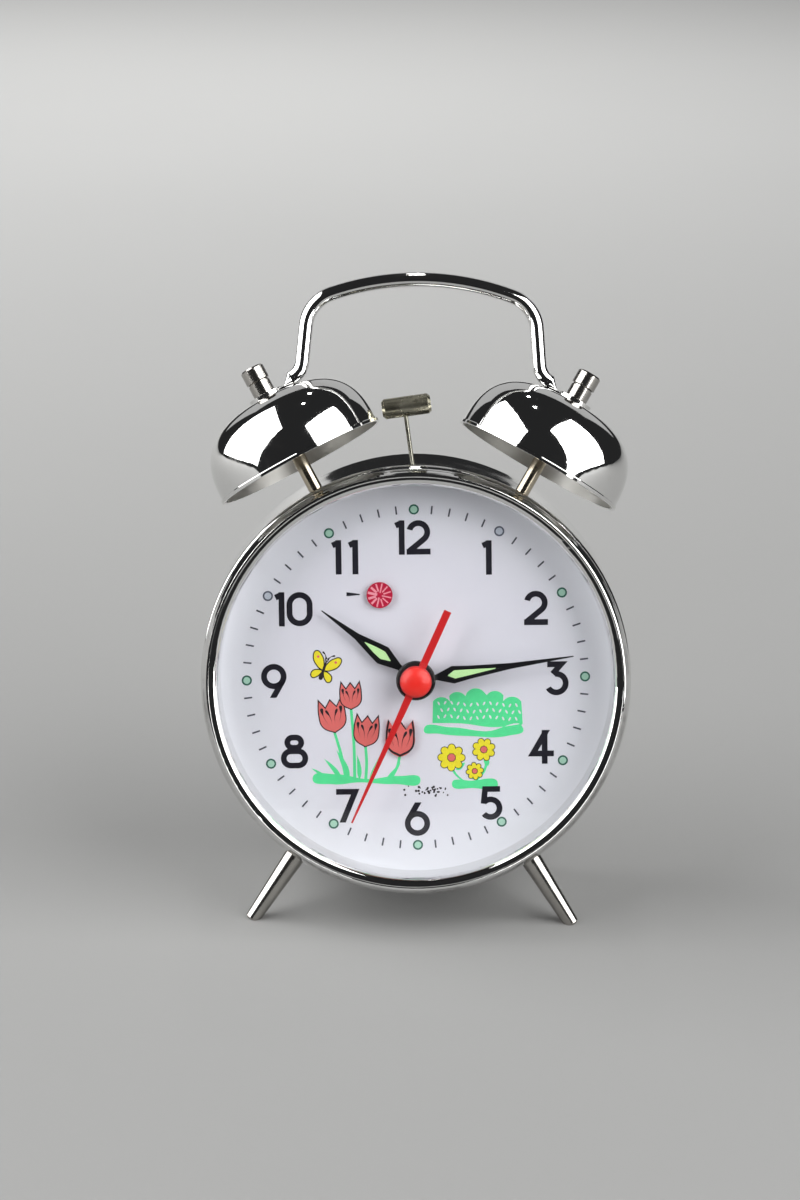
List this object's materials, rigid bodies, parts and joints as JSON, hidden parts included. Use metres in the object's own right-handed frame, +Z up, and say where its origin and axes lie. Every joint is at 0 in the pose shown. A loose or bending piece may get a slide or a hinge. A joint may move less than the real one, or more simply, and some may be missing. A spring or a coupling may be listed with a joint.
{
  "type": "wind-up alarm clock",
  "caption": "Round twin-bell wind-up alarm clock leaning back on two splayed legs, with domed bells, bent rod carrying handle, hammer, printed dial, three hands and a geared movement.",
  "frame": {"origin": "centre of the bounding box in X and Y, on the table plane", "axes": "+X to the right seen from the front, +Y to the back, +Z up"},
  "size_m": [0.1106, 0.0752, 0.1582],
  "materials": {
    "case_chrome": "polished",
    "cover_steel": "satin",
    "crystal_pane": "clear",
    "dial_paint": "printed",
    "leg_nickel": "satin",
    "hammer_steel": "dull",
    "plate_brass": "satin",
    "steel": "satin",
    "spring_steel": "blued",
    "black_hand": "satin",
    "red_hand": "gloss",
    "crimson_disc": "gloss",
    "coral_print": "printed",
    "key_steel": "nickel",
    "knob_brass": "knurled"
  },
  "bodies": {
    "case": {"case_drum": "case_chrome", "back_cover": "cover_steel", "bezel": "case_chrome", "crystal": "crystal_pane", "dial": "dial_paint", "spacer_ring": "case_chrome", "dial_feet": "steel", "leg_left": "leg_nickel", "leg_right": "leg_nickel", "leg_nuts": "leg_nickel", "bell_post_left": "leg_nickel", "bell_post_right": "leg_nickel", "post_nuts": "leg_nickel", "bell_left": "case_chrome", "bell_right": "case_chrome", "bell_nuts": "leg_nickel", "handle": "case_chrome", "front_plate": "plate_brass", "back_plate": "plate_brass", "pillars": "steel", "pillar_nuts": "steel", "spacer_nuts": "steel", "cover_screws": "steel", "time_mainspring": "spring_steel", "alarm_mainspring": "spring_steel", "hairspring": "spring_steel", "balance_screws": "steel"},
    "minute_group": {"minute_hand": "black_hand", "cannon_pinion": "plate_brass"},
    "hour_group": {"hour_hand": "black_hand", "hour_wheel": "plate_brass"},
    "minute_wheel_group": {"minute_wheel": "plate_brass", "time_set_knob": "knob_brass"},
    "alarm_wheel_group": {"alarm_wheel": "plate_brass"},
    "centre_group": {"centre_wheel": "plate_brass", "drive_pinion": "plate_brass"},
    "time_great_group": {"time_great_wheel": "plate_brass", "time_click": "steel"},
    "third_group": {"third_wheel": "plate_brass"},
    "second_group": {"second_hand": "red_hand", "fourth_wheel": "plate_brass"},
    "escape_group": {"escape_wheel": "plate_brass"},
    "pallet_group": {"pallet_lever": "steel", "tulip": "coral_print"},
    "balance_group": {"balance_wheel": "plate_brass"},
    "time_key_group": {"time_key": "key_steel", "time_spring_arbor": "steel"},
    "alarm_key_group": {"alarm_key": "key_steel", "alarm_spring_arbor": "steel"},
    "alarm_great_group": {"alarm_great_wheel": "plate_brass", "alarm_click": "steel"},
    "alarm_escape_group": {"alarm_escape_wheel": "plate_brass"},
    "hammer_group": {"hammer_head": "hammer_steel", "hammer_arm": "hammer_steel"},
    "alarm_set_group": {"alarm_disc": "crimson_disc", "alarm_set_arbor": "steel", "alarm_set_knob": "knob_brass"},
    "stop_group": {"stop_button": "key_steel"},
    "regulator_group": {"regulator_lever": "plate_brass"}
  },
  "joints": [
    {"name": "minute_hand_turn", "type": "hinge", "parent": "case", "child": "minute_group", "pos_m": [0, -0.01771, 0.06321], "axis": [0, 0.9718, -0.2357], "continuous": true},
    {"name": "hour_hand_turn", "type": "hinge", "parent": "case", "child": "hour_group", "pos_m": [0, -0.01586, 0.06276], "axis": [0, 0.9718, -0.2357], "continuous": true},
    {"name": "minute_wheel_turn", "type": "hinge", "parent": "case", "child": "minute_wheel_group", "pos_m": [0.00254, 0.00612, 0.07215], "axis": [0, 0.9718, -0.2357], "continuous": true},
    {"name": "alarm_wheel_turn", "type": "hinge", "parent": "case", "child": "alarm_wheel_group", "pos_m": [-0.00952, -0.00756, 0.08257], "axis": [0, 0.9718, -0.2357], "continuous": true},
    {"name": "centre_wheel_turn", "type": "hinge", "parent": "case", "child": "centre_group", "pos_m": [0.01586, 0.00475, 0.06651], "axis": [0, 0.9718, -0.2357], "continuous": true},
    {"name": "time_great_wheel_turn", "type": "hinge", "parent": "case", "child": "time_great_group", "pos_m": [0.0305, -0.00592, 0.05623], "axis": [0, 0.9718, -0.2357], "continuous": true},
    {"name": "third_wheel_turn", "type": "hinge", "parent": "case", "child": "third_group", "pos_m": [0.01185, 0.00203, 0.05527], "axis": [0, 0.9718, -0.2357], "continuous": true},
    {"name": "second_hand_turn", "type": "hinge", "parent": "case", "child": "second_group", "pos_m": [0, 0.00275, 0.05825], "axis": [0, 0.9718, -0.2357], "continuous": true},
    {"name": "escape_wheel_turn", "type": "hinge", "parent": "case", "child": "escape_group", "pos_m": [-0.0054, 0.00054, 0.04916], "axis": [0, 0.9718, -0.2357], "continuous": true},
    {"name": "pallet_rock", "type": "hinge", "parent": "case", "child": "pallet_group", "pos_m": [-0.00375, -0.00166, 0.04007], "axis": [0, 0.9718, -0.2357], "range_deg": [-6, 6]},
    {"name": "balance_swing", "type": "hinge", "parent": "case", "child": "balance_group", "pos_m": [-0.00158, -0.00456, 0.0281], "axis": [0, 0.9718, -0.2357], "range_deg": [-220, 220], "deforming": ["hairspring"]},
    {"name": "time_key_wind", "type": "hinge", "parent": "case", "child": "time_key_group", "pos_m": [0.0305, 0.0018, 0.05436], "axis": [0, 0.9718, -0.2357], "range_deg": [-900, 900], "deforming": ["time_mainspring"]},
    {"name": "alarm_key_wind", "type": "hinge", "parent": "case", "child": "alarm_key_group", "pos_m": [-0.0305, 0.0018, 0.05436], "axis": [0, 0.9718, -0.2357], "range_deg": [-720, 720], "deforming": ["alarm_mainspring"]},
    {"name": "alarm_great_wheel_turn", "type": "hinge", "parent": "case", "child": "alarm_great_group", "pos_m": [-0.0305, -0.00592, 0.05623], "axis": [0, 0.9718, -0.2357], "continuous": true},
    {"name": "alarm_escape_turn", "type": "hinge", "parent": "case", "child": "alarm_escape_group", "pos_m": [-0.0241, 0.00595, 0.07144], "axis": [0, 0.9718, -0.2357], "continuous": true},
    {"name": "hammer_swing", "type": "hinge", "parent": "case", "child": "hammer_group", "pos_m": [-0.02068, 0.00816, 0.08057], "axis": [0, 0.9718, -0.2357], "range_deg": [-1.9, 9.3]},
    {"name": "alarm_set_turn", "type": "hinge", "parent": "case", "child": "alarm_set_group", "pos_m": [-0.00952, 0.00775, 0.07886], "axis": [0, 0.9718, -0.2357], "continuous": true},
    {"name": "alarm_stop_push", "type": "slide", "parent": "case", "child": "stop_group", "axis": [0, 0.9718, -0.2357], "range_m": [-0.0035, 0]},
    {"name": "regulator_turn", "type": "hinge", "parent": "case", "child": "regulator_group", "pos_m": [-0.00158, 0.00588, 0.02557], "axis": [0, 0.9718, -0.2357], "range_deg": [-15, 15]}
  ],
  "couplings": [
    {"joint": "hour_hand_turn", "follows": "minute_hand_turn", "ratio": 0.083333},
    {"joint": "minute_wheel_turn", "follows": "minute_hand_turn", "ratio": -0.33333},
    {"joint": "alarm_wheel_turn", "follows": "minute_hand_turn", "ratio": -0.083333},
    {"joint": "centre_wheel_turn", "follows": "minute_hand_turn", "ratio": 1},
    {"joint": "time_great_wheel_turn", "follows": "minute_hand_turn", "ratio": -0.16667},
    {"joint": "third_wheel_turn", "follows": "minute_hand_turn", "ratio": -8},
    {"joint": "second_hand_turn", "follows": "minute_hand_turn", "ratio": 60},
    {"joint": "escape_wheel_turn", "follows": "minute_hand_turn", "ratio": -480},
    {"joint": "alarm_escape_turn", "follows": "alarm_great_wheel_turn", "ratio": -7.5}
  ]
}
